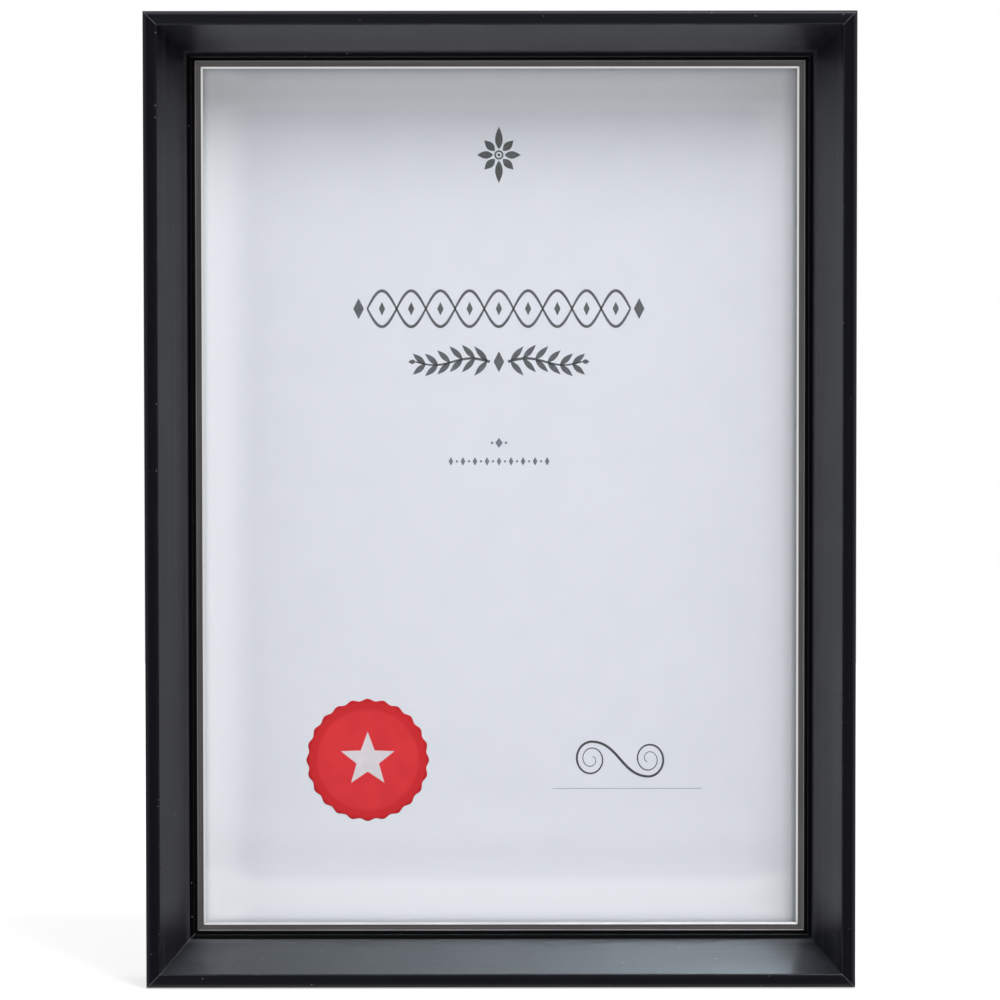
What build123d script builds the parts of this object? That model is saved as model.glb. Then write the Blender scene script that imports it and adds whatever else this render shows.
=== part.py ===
from build123d import *
import os

os.makedirs("parts", exist_ok=True)

# Certificate frame, standing upright the portrait way. X is its width, Y its depth with the front at -Y, and Z
# is up. The origin is the centre of the bottom rail's resting face. Left and right are as seen from the front.
# An inset is measured from the frame's outer edge towards its middle, and a depth from the front towards the back.

# Certificate sheet
sheet_width = 210.0
sheet_height = 297.0
sheet_thickness = 0.25
sheet_play = 1.0  # room round the sheet inside the rebate
sheet_air = 0.2  # thin air between pane and sheet

# Moulding section
back_width = 10.3  # wood between the outer edge and the rebate
strip_width = 4.5  # flat front strip
slope_width = 8.4
slope_depth = 24.0
step_run = 0.3
step_drop = 0.9  # from the slope's end down to the small ledge
ledge_width = 1.3
lip_thickness = 1.9
outer_round = 1.2
ridge_round = 0.7
slope_end_round = 0.25
ledge_round = 0.3
back_round = 0.6

# Silver slip
slip_play = 0.3
slip_thickness = 2.0
slip_flat_inset = 17.6  # where the flat ends and the inner bevel starts
slip_bevel_width = 0.65
slip_bevel_drop = 0.5
bead_inset = 15.65
bead_radius = 0.28

# Pane and back
board_play = 0.5  # room round the pane and the back inside the rebate
pane_thickness = 2.0
back_thickness = 3.0
back_sunk = 0.25  # the back lies this far below the moulding's back face
board_corner = 1.0

# Corner nails, V-shaped steel strips driven across each mitre
corner_nails = 2
corner_nail_leg = 3.2
corner_nail_thickness = 0.5
corner_nail_length = 7.0
corner_nail_first_inset = 4.7  # inset of the first nail's fold from both outer edges
corner_nail_pitch = 4.2
corner_nail_sunk = 0.3
nail_fit = 0.05  # clearance round nails, screws and rivets in their holes

# Turn buttons
button_places_share = 0.53  # each button's distance from the middle of its side, as a share of the half length
button_thickness = 1.0
button_head_radius = 4.4
button_tip_radius = 3.0
button_reach = 12.6  # from the pivot to the tip
button_bead_radius = 0.9
button_bead_height = 0.4
turn_gap = 0.1  # above and below a button
button_hole_radius = 1.55

# Button screws, with pan heads and cross recesses
screw_radius = 1.5
screw_length = 9.0
screw_head_radius = 2.8
screw_head_height = 1.7
screw_head_round = 0.9
recess_width = 0.7
recess_length = 3.2
recess_depth = 0.9

# Hangers, toothed steel strips raised clear of the rail
hanger_length = 46.0
hanger_height = 8.4
hanger_thickness = 0.8
hanger_tab_length = 6.5
hanger_ramp_length = 3.0
hanger_rise = 2.0
tooth_count = 7
tooth_depth = 1.6
hanger_nail_radius = 0.7
hanger_nail_length = 9.0
hanger_nail_head_radius = 1.9
hanger_nail_head_height = 0.7

# Strut and its hinge
hinge_height = 200.0  # of the hinge pin above the resting face
strut_clearance = 0.3  # between the folded strut and the moulding's back face
strut_thickness = 2.5
strut_top_width = 42.0
strut_foot_width = 60.0
strut_foot_height = 5.0  # of the folded strut's foot above the resting face
strut_top_corner = 4.0
strut_foot_corner = 8.0
strut_open_angle = 30.0
leaf_thickness = 0.8
leaf_width = 30.0
leaf_length = 24.0
leaf_corner = 2.5
middle_knuckle_width = 11.0
knuckle_gap = 0.4
pin_radius = 0.95
pin_fit = 0.05
pin_head_radius = 1.5
pin_head_height = 0.5
stop_length = 8.0
stop_gap = 0.3
rivet_radius = 1.4
rivet_head_radius = 2.5
rivet_head_height = 1.0
rivet_head_round = 0.5
rivet_spacing = 17.0
rivet_sunk = 0.1

overrun = 20.0  # how far a cutting body runs past what it cuts

# Sizes worked out from those above
rebate_width = sheet_width + 2 * sheet_play
rebate_height = sheet_height + 2 * sheet_play
frame_width = rebate_width + 2 * back_width
frame_height = rebate_height + 2 * back_width
slope_end = strip_width + slope_width
ledge_depth = slope_depth + step_drop
rebate_depth = ledge_depth + lip_thickness
pane_depth = rebate_depth + slip_thickness
sheet_depth = pane_depth + pane_thickness + sheet_air
back_depth = sheet_depth + sheet_thickness
frame_depth = back_depth + back_thickness + back_sunk
front_y = -frame_depth / 2
rear_y = frame_depth / 2
middle_z = frame_height / 2
sight_inset = slip_flat_inset + slip_bevel_width
fastener_inset = back_width / 2

INWARD = {"top": (0, 0, -1), "bottom": (0, 0, 1), "left": (1, 0, 0), "right": (-1, 0, 0)}
DEPTH = Vector(0, 1, 0)


def edge_middle(side):
    """The middle of a side's outer edge, at mid depth."""
    inward = Vector(*INWARD[side])
    centre = Vector(0, 0, middle_z)
    return centre - Vector(inward.X * frame_width / 2, 0, inward.Z * frame_height / 2)


def half_length(side):
    return frame_width / 2 if side in ("top", "bottom") else frame_height / 2


def section_plane(side):
    """Across a side: x is the inset, y the depth."""
    inward = Vector(*INWARD[side])
    origin = edge_middle(side) + DEPTH * front_y
    return Plane(origin=origin, x_dir=inward, z_dir=inward.cross(DEPTH))


def rear_plane(side, inset, along=0.0):
    """On the moulding's back face: x points to the frame's middle, z backwards and off the frame."""
    inward = Vector(*INWARD[side])
    origin = edge_middle(side) + inward * inset + DEPTH.cross(inward) * along + DEPTH * rear_y
    return Plane(origin=origin, x_dir=inward, z_dir=DEPTH)


def mitred(section, side):
    """A section run along one side of the frame, and cut at 45 degrees at both corners."""
    run = half_length(side)
    bar = extrude(section_plane(side) * section, amount=run, both=True)
    reach = sight_inset + overrun
    wedge = Polygon(
        (-overrun, -run - overrun),
        (-overrun, run + overrun),
        (reach, run - reach),
        (reach, reach - run),
        align=None,
    )
    origin = edge_middle(side)
    cutter = Plane(origin=origin, x_dir=Vector(*INWARD[side]), z_dir=-DEPTH) * wedge
    return bar & extrude(cutter, amount=frame_depth, both=True)


def rail_section():
    lip_edge = slope_end + 2 * step_run + ledge_width
    corners = [
        ((0, 0), outer_round),
        ((strip_width, 0), ridge_round),
        ((slope_end, slope_depth), slope_end_round),
        ((slope_end + step_run, ledge_depth), 0),
        ((slope_end + step_run + ledge_width, ledge_depth), ledge_round),
        ((lip_edge, rebate_depth), 0),
        ((back_width, rebate_depth), 0),
        ((back_width, frame_depth), 0),
        ((0, frame_depth), back_round),
    ]
    outline = FilletPolyline(
        *[point for point, _ in corners],
        radius=[radius for _, radius in corners],
        close=True,
    )
    return make_face(outline)


def slip_section():
    """A flat band with a fine bead near its outer edge and a bevel at the sight edge."""
    start = back_width + slip_play
    band = Polygon(
        (start, rebate_depth),
        (slip_flat_inset, rebate_depth),
        (sight_inset, rebate_depth + slip_bevel_drop),
        (sight_inset, pane_depth),
        (start, pane_depth),
        align=None,
    )
    return band + Pos(bead_inset, rebate_depth) * Circle(bead_radius)


def corner_nail_shape(growth=0.0):
    """The eight V-shaped corner nails, or with a growth the pockets that they are driven into."""
    shapes = []
    thickness = corner_nail_thickness + 2 * growth
    leg = corner_nail_leg + corner_nail_thickness / 2 + growth
    bottom = rear_y - corner_nail_sunk - corner_nail_length - growth
    top = rear_y + overrun if growth else rear_y - corner_nail_sunk
    for x_sign in (-1, 1):
        for z_sign in (-1, 1):
            for number in range(corner_nails):
                inset = corner_nail_first_inset + number * corner_nail_pitch
                fold_x = x_sign * (frame_width / 2 - inset)
                fold_z = middle_z + z_sign * (frame_height / 2 - inset)
                corner = Pos(fold_x, (bottom + top) / 2, fold_z)
                start = -thickness / 2
                along_x = Pos(x_sign * (start + leg) / 2) * Box(leg - start, top - bottom, thickness)
                along_z = Pos(0, 0, z_sign * (start + leg) / 2) * Box(thickness, top - bottom, leg - start)
                shapes.append(corner * (along_x + along_z))
    return shapes


def button_places():
    """Name, side and place along the side of every turn button."""
    places = []
    for side in INWARD:
        offset = half_length(side) * button_places_share
        for sign in (-1, 1):
            along = DEPTH.cross(Vector(*INWARD[side])) * sign
            if side in ("top", "bottom"):
                end = "right" if along.X > 0 else "left"
            else:
                end = "upper" if along.Z > 0 else "lower"
            places.append((f"turn_button_{side}_{end}", side, sign * offset))
    return places


def hanger_sides():
    return {"portrait": "top", "landscape": "left"}


def hanger_nail_offset():
    return (hanger_length - hanger_tab_length) / 2


def fastener_holes(radius, length, places):
    """Blind holes in the moulding's back face, as one list of cylinders."""
    deep = length + nail_fit
    drill = Pos(0, 0, (overrun - deep) / 2) * Cylinder(radius + nail_fit, overrun + deep)
    return [rear_plane(side, fastener_inset, along) * drill for side, along in places]


def rails():
    holes = corner_nail_shape(nail_fit)
    screws = [(side, along) for _, side, along in button_places()]
    holes += fastener_holes(screw_radius, screw_length, screws)
    nails = [(side, sign * hanger_nail_offset()) for side in hanger_sides().values() for sign in (-1, 1)]
    holes += fastener_holes(hanger_nail_radius, hanger_nail_length, nails)
    result = {}
    for side in INWARD:
        result[f"{side}_rail"] = mitred(rail_section(), side) - holes
    return result


def slips():
    return {f"{side}_slip": mitred(slip_section(), side) for side in INWARD}


def board(width, height, thickness, depth, corner=0.0):
    """A flat board inside the rebate, whose front face lies at a depth."""
    outline = RectangleRounded(width, height, corner) if corner else Rectangle(width, height)
    plane = Plane(origin=(0, front_y + depth, middle_z), x_dir=(1, 0, 0), z_dir=(0, 1, 0))
    return extrude(plane * outline, amount=thickness)


def pane():
    return board(rebate_width - 2 * board_play, rebate_height - 2 * board_play, pane_thickness, pane_depth)


def certificate_sheet():
    return board(sheet_width, sheet_height, sheet_thickness, sheet_depth)


def back_board():
    body = board(
        rebate_width - 2 * board_play,
        rebate_height - 2 * board_play,
        back_thickness,
        back_depth,
        board_corner,
    )
    drill = Rot(X=90) * Cylinder(rivet_radius + nail_fit, overrun)
    return body - [Pos(x, rear_y, plate_rivet_z()) * drill for x in rivet_places()]


def turn_button():
    """Lies on the plane z = 0 with its pivot at the origin and its tip towards +x."""
    tip = button_reach - button_tip_radius
    outline = make_hull(
        (Circle(button_head_radius) + Pos(tip, 0) * Circle(button_tip_radius)).edges()
    )
    blade = extrude(outline, amount=button_thickness)
    bead_start = screw_head_radius + turn_gap + 2 * button_bead_radius
    bead = Pos((bead_start + tip) / 2, 0, button_thickness) * extrude(
        SlotOverall(tip - bead_start + 2 * button_bead_radius, 2 * button_bead_radius),
        amount=button_bead_height,
    )
    hole = Cylinder(button_hole_radius, overrun)
    return blade + bead - hole


def turn_buttons():
    result = {}
    for name, side, along in button_places():
        plane = rear_plane(side, fastener_inset, along).offset(turn_gap)
        result[name] = plane * turn_button()
    return result


def button_screw():
    """Its head rests just above the button, and z = 0 is the moulding's back face."""
    head_z = 2 * turn_gap + button_thickness
    shank = Pos(0, 0, (head_z - screw_length) / 2) * Cylinder(screw_radius, screw_length + head_z)
    head = Pos(0, 0, head_z + screw_head_height / 2) * Cylinder(screw_head_radius, screw_head_height)
    head = fillet(head.faces().sort_by(Axis.Z)[-1].edges(), screw_head_round)
    slot = Box(recess_length, recess_width, recess_depth)
    cross = Pos(0, 0, head_z + screw_head_height - recess_depth / 2) * (slot + Rot(Z=90) * slot)
    return shank + head - cross


def button_screws():
    return [rear_plane(side, fastener_inset, along) * button_screw() for _, side, along in button_places()]


def hanger():
    """A raised strip on the plane z = 0, long in y, with its teeth towards +x."""
    half = hanger_length / 2
    ramp_foot = half - hanger_tab_length
    ramp_top = ramp_foot - hanger_ramp_length
    lower = [(-half, 0), (-ramp_foot, 0), (-ramp_top, hanger_rise), (ramp_top, hanger_rise), (ramp_foot, 0), (half, 0)]
    upper = [(y, z + hanger_thickness) for y, z in reversed(lower)]
    side_view = Plane(origin=(0, 0, 0), x_dir=(0, 1, 0), z_dir=(1, 0, 0)) * Polygon(*lower, *upper, align=None)
    strip = extrude(side_view, amount=hanger_height / 2, both=True)
    pitch = 2 * ramp_top / tooth_count
    edge = hanger_height / 2
    for number in range(tooth_count):
        low = -ramp_top + number * pitch
        notch = Polygon((edge, low), (edge - tooth_depth, low + pitch / 2), (edge, low + pitch), align=None)
        strip -= extrude(notch, amount=overrun)
    hole = Cylinder(hanger_nail_radius + nail_fit, overrun)
    return strip - [Pos(0, sign * hanger_nail_offset()) * hole for sign in (-1, 1)]


def hangers():
    result = {}
    for way, side in hanger_sides().items():
        result[f"{way}_hanger"] = rear_plane(side, fastener_inset) * hanger()
    return result


def hanger_nails():
    shank = Pos(0, 0, (hanger_thickness - hanger_nail_length) / 2) * Cylinder(
        hanger_nail_radius, hanger_nail_length + hanger_thickness
    )
    head_z = hanger_thickness + hanger_nail_head_height / 2
    nail = shank + Pos(0, 0, head_z) * Cylinder(hanger_nail_head_radius, hanger_nail_head_height)
    places = [(side, sign * hanger_nail_offset()) for side in hanger_sides().values() for sign in (-1, 1)]
    return [rear_plane(side, fastener_inset, along) * nail for side, along in places]


# The hinge: the fixed leaf is riveted to the back, the moving leaf to the strut's outer face
plate_face_y = rear_y - back_sunk
strut_y = rear_y + strut_clearance
knuckle_radius = (strut_y + strut_thickness + leaf_thickness - plate_face_y) / 2
pin_y = plate_face_y + knuckle_radius
bore_radius = pin_radius + pin_fit
pin_place = Pos(0, pin_y, hinge_height)


def rivet_places():
    return (-rivet_spacing / 2, rivet_spacing / 2)


def plate_rivet_z():
    return hinge_height + leaf_length / 2 + knuckle_radius / 2


def leaf_rivet_z():
    return hinge_height - leaf_length / 2 - knuckle_radius / 2


def across(width, radius):
    """A cylinder that lies across the frame, round the hinge pin."""
    return pin_place * Rot(Y=90) * Cylinder(radius, width)


def knuckle_notch(width):
    """Room for a knuckle of the other leaf."""
    size = 2 * (knuckle_radius + knuckle_gap)
    return pin_place * Box(width + 2 * knuckle_gap, size, size)


def leaf_blade(face_y, direction):
    """A flat leaf that runs up or down from the pin, with its far corners rounded."""
    blade = Box(leaf_width, leaf_thickness, leaf_length)
    far = blade.edges().filter_by(Axis.Y).group_by(Axis.Z)[-1 if direction > 0 else 0]
    blade = fillet(far, leaf_corner)
    return Pos(0, face_y + leaf_thickness / 2, hinge_height + direction * leaf_length / 2) * blade


def hinge_fixed_leaf():
    blade = leaf_blade(plate_face_y, 1)
    blade += across(leaf_width, knuckle_radius)
    blade -= knuckle_notch(middle_knuckle_width)
    blade -= across(leaf_width + overrun, bore_radius)
    drill = Rot(X=90) * Cylinder(rivet_radius + nail_fit, overrun)
    return blade - [Pos(x, rear_y, plate_rivet_z()) * drill for x in rivet_places()]


def hinge_stop():
    """A tongue above the pin. It lies over the fixed leaf when the strut is fully open."""
    low = plate_face_y + leaf_thickness + stop_gap - pin_y
    flat = Pos(0, low + leaf_thickness / 2, stop_length / 2) * Box(
        middle_knuckle_width, leaf_thickness, stop_length
    )
    return pin_place * Rot(X=-strut_open_angle) * flat


def hinge_moving_leaf():
    outer_y = strut_y + strut_thickness
    side_width = (leaf_width - middle_knuckle_width) / 2
    blade = leaf_blade(outer_y, -1)
    for sign in (-1, 1):
        side_x = sign * (middle_knuckle_width + side_width) / 2
        blade -= Pos(side_x) * knuckle_notch(side_width)
    blade += across(middle_knuckle_width, knuckle_radius)
    blade += hinge_stop()
    blade -= across(leaf_width + overrun, bore_radius)
    drill = Rot(X=90) * Cylinder(rivet_radius + nail_fit, overrun)
    return blade - [Pos(x, outer_y, leaf_rivet_z()) * drill for x in rivet_places()]


def hinge_pin():
    pin = across(leaf_width + 2 * pin_fit, pin_radius)
    for sign in (-1, 1):
        pin += Pos(sign * (leaf_width / 2 + pin_fit + pin_head_height / 2)) * across(pin_head_height, pin_head_radius)
    return pin


def rivet(grip):
    """Head on +z, with z = 0 under the head."""
    shank = Pos(0, 0, -grip / 2) * Cylinder(rivet_radius, grip)
    head = Pos(0, 0, rivet_head_height / 2) * Cylinder(rivet_head_radius, rivet_head_height)
    return shank + fillet(head.faces().sort_by(Axis.Z)[-1].edges(), rivet_head_round)


def rivets(head_y, z, grip):
    plane = Plane(origin=(0, head_y, z), x_dir=(1, 0, 0), z_dir=(0, 1, 0))
    return [plane * Pos(x, 0) * rivet(grip - rivet_sunk) for x in rivet_places()]


def strut():
    top = hinge_height - knuckle_radius - knuckle_gap
    outline = Polygon(
        (-strut_top_width / 2, top),
        (strut_top_width / 2, top),
        (strut_foot_width / 2, strut_foot_height),
        (-strut_foot_width / 2, strut_foot_height),
        align=None,
    )
    rows = outline.vertices().group_by(Axis.Y)
    outline = fillet(rows[0], strut_foot_corner)
    outline = fillet(outline.vertices().group_by(Axis.Y)[-1], strut_top_corner)
    leg = Pos(0, strut_y) * extrude(Plane.XZ * outline, amount=strut_thickness, dir=DEPTH)
    drill = Rot(X=90) * Cylinder(rivet_radius + nail_fit, overrun)
    return leg - [Pos(x, strut_y, leaf_rivet_z()) * drill for x in rivet_places()]


def group(solids):
    return Compound(children=list(solids))


nodes = {}
nodes.update(rails())
nodes.update(slips())
nodes["corner_nails"] = group(corner_nail_shape())
nodes["pane"] = pane()
nodes["certificate_sheet"] = certificate_sheet()
nodes["back_board"] = back_board()
nodes.update(turn_buttons())
nodes["button_screws"] = group(button_screws())
nodes.update(hangers())
nodes["hanger_nails"] = group(hanger_nails())
nodes["strut_leg"] = strut()
nodes["hinge_fixed_leaf"] = hinge_fixed_leaf()
nodes["hinge_moving_leaf"] = hinge_moving_leaf()
nodes["hinge_pin"] = hinge_pin()
nodes["fixed_leaf_rivets"] = group(
    rivets(plate_face_y + leaf_thickness, plate_rivet_z(), leaf_thickness + back_thickness)
)
nodes["moving_leaf_rivets"] = group(
    rivets(strut_y + strut_thickness + leaf_thickness, leaf_rivet_z(), leaf_thickness + strut_thickness)
)

for name, shape in nodes.items():
    export_step(shape, f"parts/{name}.step")
    print(name, len(shape.solids()), round(shape.volume, 2))
print("frame", round(frame_width, 3), round(frame_depth, 3), round(frame_height, 3))
print("hinge pin", round(pin_y, 4), hinge_height)
for name, side, along in button_places():
    place = rear_plane(side, fastener_inset, along).origin
    print(name, round(place.X, 4), round(place.Y, 4), round(place.Z, 4))
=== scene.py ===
import math

import bpy
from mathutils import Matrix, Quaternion, Vector


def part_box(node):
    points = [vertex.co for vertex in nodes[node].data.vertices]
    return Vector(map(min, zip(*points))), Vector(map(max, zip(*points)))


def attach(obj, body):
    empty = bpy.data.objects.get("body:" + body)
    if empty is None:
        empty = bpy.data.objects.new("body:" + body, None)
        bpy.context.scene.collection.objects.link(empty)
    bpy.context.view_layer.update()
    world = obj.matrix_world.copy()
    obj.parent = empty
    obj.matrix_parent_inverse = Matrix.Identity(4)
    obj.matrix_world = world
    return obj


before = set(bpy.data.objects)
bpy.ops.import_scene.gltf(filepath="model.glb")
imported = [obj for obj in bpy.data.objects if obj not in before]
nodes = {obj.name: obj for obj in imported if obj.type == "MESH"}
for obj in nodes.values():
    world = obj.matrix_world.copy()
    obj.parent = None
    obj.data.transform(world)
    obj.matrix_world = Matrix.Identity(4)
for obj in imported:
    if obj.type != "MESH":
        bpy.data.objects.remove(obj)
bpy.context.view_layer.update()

# Everything is in metres. X is the width, Y the depth with the front at -Y, and Z is up.
MM = 0.001

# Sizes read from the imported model
LEFT_LOW, LEFT_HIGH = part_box("left_rail")
SHEET_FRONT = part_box("certificate_sheet")[0].y
HALF_WIDTH = -LEFT_LOW.x
HALF_HEIGHT = (LEFT_HIGH.z - LEFT_LOW.z) / 2
MIDDLE_Z = (LEFT_HIGH.z + LEFT_LOW.z) / 2
FRONT_Y = LEFT_LOW.y
MOULDING_DEPTH = LEFT_HIGH.y - FRONT_Y

# Sizes of the section, measured inwards from the frame's outer edge, as in the CAD source
RIDGE_INSET = 4.5 * MM
LIP_INSET = 13.15 * MM
SILVER_START = 15.42 * MM  # outer foot of the slip's bead
SLIP_BEAD_END = 15.92 * MM
SLIP_FLAT_INSET = 17.6 * MM

# In the photo the sheet isn't quite flat. Lines along which its bump makes it look hollow or bowed, and places
# where painted light and painted shade start near its edges.
CURL_LEFT = -86.0 * MM
CURL_LOW = MIDDLE_Z - 123.0 * MM
CURL_TOP = MIDDLE_Z + 128.0 * MM
CURL_HEIGHT = 0.45 * MM
EDGE_LOW = MIDDLE_Z - 131.3 * MM
EDGE_TOP = MIDDLE_Z + 133.5 * MM
EDGE_RIGHT = 92.5 * MM

# The camera, fitted to the photo's outlines
CAMERA_DISTANCE = 1.898
CAMERA_ELEVATION = math.radians(3.044)
CAMERA_ROLL = math.radians(-0.051)
CAMERA_AIM_SIDE = -0.13 * MM
CAMERA_AIM_RISE = 0.49 * MM
FOCAL_PIXELS = 5814.0
IMAGE_PIXELS = 1000.0
SENSOR_WIDTH = 36.0

# A wide soft lamp, high on the right
KEY_PLACE = Vector((1.15, -2.00, 2.88))
KEY_SIZE = (1.28, 1.52)
KEY_POWER = 90.0
KEY_COLOUR = (0.99, 0.985, 1.0)

# A second lamp that only the pane mirrors. Its image shows in the lower slope.
PANE_LAMP_PLACE = Vector((0.16, -1.24, 1.45))
PANE_LAMP_SIZE = (0.16, 0.62)
PANE_LAMP_POWER = 74.0
PANE_LAMP_COLOUR = (0.78, 0.91, 1.0)

# How bright the room is, for matt surfaces and then for what glossy surfaces see of it
ROOM_DARK = 0.11  # behind the camera
ROOM_SIDES = 0.63
ROOM_SIDES_GLOSS = 0.70
ROOM_REAR_GLOSS = 0.92
ROOM_HIGH_GLOSS = 0.6  # above the camera
ROOM_LEFT_GLOSS = 1.5  # the walls beside the camera
ROOM_RIGHT_GLOSS = 0.95
ROOM_COLOUR = (0.985, 0.995, 1.0)
HIGH_PLACE = 0.70  # sine of the height of the patch above the camera
WALL_PLACE = 0.74  # cosine of the walls' angle from the camera's side
DARK_CONE_EDGE = 0.82  # cosines from the camera's side, between which the room goes dark
DARK_CONE_CORE = 0.96
DARK_SHARE_DIFFUSE = 0.1  # how much of that darkness matt surfaces see

FLOOR_HALF = 1.3
FLOOR_GAP = 0.4 * MM
FLOOR_NEAR = 0.25  # distances from the frame between which the floor fades to the background's white
FLOOR_FAR = 0.9
FLOOR_NEAR_GLOW = 0.62

# Roughness of the lacquer, and the two blacks of its streaks
ROUGH_STRIP = 0.33
ROUGH_SLOPE = 0.34
ROUGH_CORNER = 0.54  # of the slopes beside the mitres
ROUGH_LIP = 0.2

BLACKS = ((0.0052, 0.0050, 0.0067), (0.0080, 0.0077, 0.0101))

# In the photo the upright rails look duller than the level ones, and what the rails mirror looks a little blue.
# For each rail: how much it mirrors, how pale its black is, and the tint of what it mirrors. All four rails are
# one paint, so their different blacks are painted light and painted shade.
LEVEL_TINT = (0.86, 0.91, 1.0)
UPRIGHT_TINT = (0.75, 0.815, 1.0)
LACQUERS = {
    "top": (0.46, 0.45, LEVEL_TINT),
    "bottom": (0.37, 0.45, LEVEL_TINT),
    "left": (0.125, 0.9, UPRIGHT_TINT),
    "right": (0.208, 0.65, UPRIGHT_TINT),
}

# Print and seal. The print's functions give places and widths in millimetres from the sheet's middle.
INK_LIFT = 0.012 * MM  # thickness of a layer of ink
INK_GAP = 0.004 * MM
SEAL_X, SEAL_REAR, SEAL_Z = -44.18 * MM, SHEET_FRONT - INK_GAP, MIDDLE_Z - 87.60 * MM
SEAL_PEAK = 20.40 * MM
SEAL_VALLEY = 19.66 * MM
SEAL_RIM = 18.6 * MM
SEAL_RING = 17.1 * MM
SEAL_THICKNESS = 0.075 * MM
SEAL_SCALLOPS = 24
SEAL_RINGS = 26
SEAL_STEPS = 12  # for each scallop
SEAL_EDGE = 0.985  # share of the radius where the edge starts to fall
SEAL_GROOVE_DEPTH, SEAL_GROOVE_WIDTH = 0.030 * MM, 0.5 * MM
SEAL_LIP_HEIGHT, SEAL_LIP_WIDTH = 0.018 * MM, 0.7 * MM
SEAL_FALL = 0.03 * MM
STAR_TIP = 9.4 * MM
STAR_NOTCH = 3.9 * MM
PAPER_SHOWING = (0.70, 0.73, 0.78)


def make_camera():
    data = bpy.data.cameras.new("camera")
    data.sensor_width = SENSOR_WIDTH
    data.lens = FOCAL_PIXELS / IMAGE_PIXELS * SENSOR_WIDTH
    data.clip_start = 0.05
    data.clip_end = 60.0
    camera = bpy.data.objects.new("camera", data)
    bpy.context.scene.collection.objects.link(camera)
    aim = Vector((CAMERA_AIM_SIDE, FRONT_Y, MIDDLE_Z + CAMERA_AIM_RISE))
    away = Vector((0, -math.cos(CAMERA_ELEVATION), math.sin(CAMERA_ELEVATION)))
    camera.location = aim + away * CAMERA_DISTANCE
    camera.rotation_mode = "QUATERNION"
    look = (-away).to_track_quat("-Z", "Y")
    camera.rotation_quaternion = look @ Quaternion((0, 0, 1), CAMERA_ROLL)
    bpy.context.scene.camera = camera


def make_light(name, place, size, power, colour):
    data = bpy.data.lights.new(name, "AREA")
    data.shape = "RECTANGLE"
    data.size, data.size_y = size
    data.energy = power
    data.color = colour
    light = bpy.data.objects.new(name, data)
    light.location = place
    light.rotation_mode = "QUATERNION"
    to_frame = Vector((0, FRONT_Y, MIDDLE_Z)) - place
    light.rotation_quaternion = to_frame.to_track_quat("-Z", "Y")
    light.visible_camera = False
    bpy.context.scene.collection.objects.link(light)
    return light


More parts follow.
